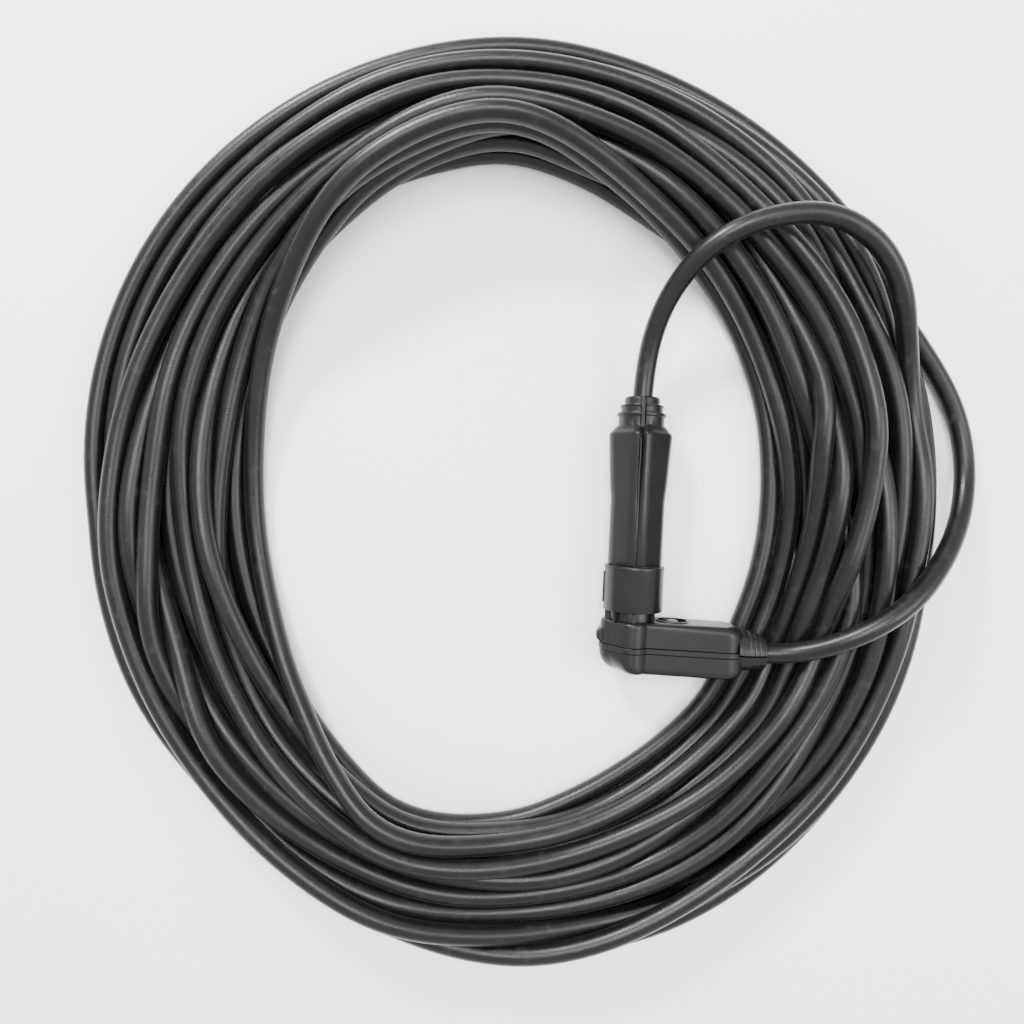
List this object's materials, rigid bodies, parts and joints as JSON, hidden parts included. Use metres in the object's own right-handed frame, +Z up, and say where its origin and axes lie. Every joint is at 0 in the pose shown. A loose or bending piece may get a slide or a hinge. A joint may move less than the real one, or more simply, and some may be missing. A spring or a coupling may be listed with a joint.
{
  "type": "shore power cord",
  "caption": "Long round black rubber cable laid in an oval coil, its straight plug with a coupling ring pushed into the angled socket on its other end",
  "frame": {"origin": "middle of the bounding box on the standing surface, under the coil", "axes": "+Z up from the standing surface; +Y about along the plug, from the socket towards the plug's cable; +X from the plug towards the side where the socket's cable leaves"},
  "size_m": [0.5045, 0.5239, 0.0578],
  "materials": {
    "cable": "satin ribbed rubber",
    "shell": "finely textured black",
    "ring": "smooth black",
    "band": "smooth black",
    "insert": "moulded black",
    "seal": "soft black",
    "contact": "turned",
    "screw": "plated",
    "core_line": "smooth",
    "core_neutral": "smooth",
    "core_earth": "smooth"
  },
  "bodies": {
    "root": {"cord_coil": "cable", "socket_band": "band", "socket_base_shell": "shell", "socket_cable_gland": "seal", "socket_contact_earth": "contact", "socket_contact_line": "contact", "socket_contact_neutral": "contact", "socket_cord_clamp": "insert", "socket_cord_clamp_screw_a": "screw", "socket_cord_clamp_screw_b": "screw", "socket_core_earth": "core_earth", "socket_core_line": "core_line", "socket_core_neutral": "core_neutral", "socket_cover_screw_1": "screw", "socket_cover_screw_2": "screw", "socket_cover_screw_3": "screw", "socket_cover_shell": "shell", "socket_face_seal": "seal", "socket_insert": "insert", "socket_lead": "cable", "socket_terminal_screw_earth": "screw", "socket_terminal_screw_line": "screw", "socket_terminal_screw_neutral": "screw"},
    "plug": {"plug_cable_gland": "seal", "plug_cord_clamp": "insert", "plug_cord_clamp_screw_a": "screw", "plug_cord_clamp_screw_b": "screw", "plug_core_earth": "core_earth", "plug_core_line": "core_line", "plug_core_neutral": "core_neutral", "plug_insert": "insert", "plug_lead": "cable", "plug_pin_earth": "contact", "plug_pin_line": "contact", "plug_pin_neutral": "contact", "plug_shell_left": "shell", "plug_shell_right": "shell", "plug_shell_screw_1": "screw", "plug_shell_screw_2": "screw", "plug_terminal_screw_earth": "screw", "plug_terminal_screw_line": "screw", "plug_terminal_screw_neutral": "screw"},
    "ring": {"coupling_ring": "ring"}
  },
  "joints": [
    {"name": "plug_pull", "type": "slide", "parent": "root", "child": "plug", "axis": [0.0436, 0.999, 0], "range_m": [0, 0.024], "deforming": ["plug_lead"]},
    {"name": "ring_turn", "type": "hinge", "parent": "plug", "child": "ring", "pos_m": [0.0558, -0.0604, 0.018], "axis": [0.0436, 0.999, 0], "range_deg": [0, 60]}
  ]
}
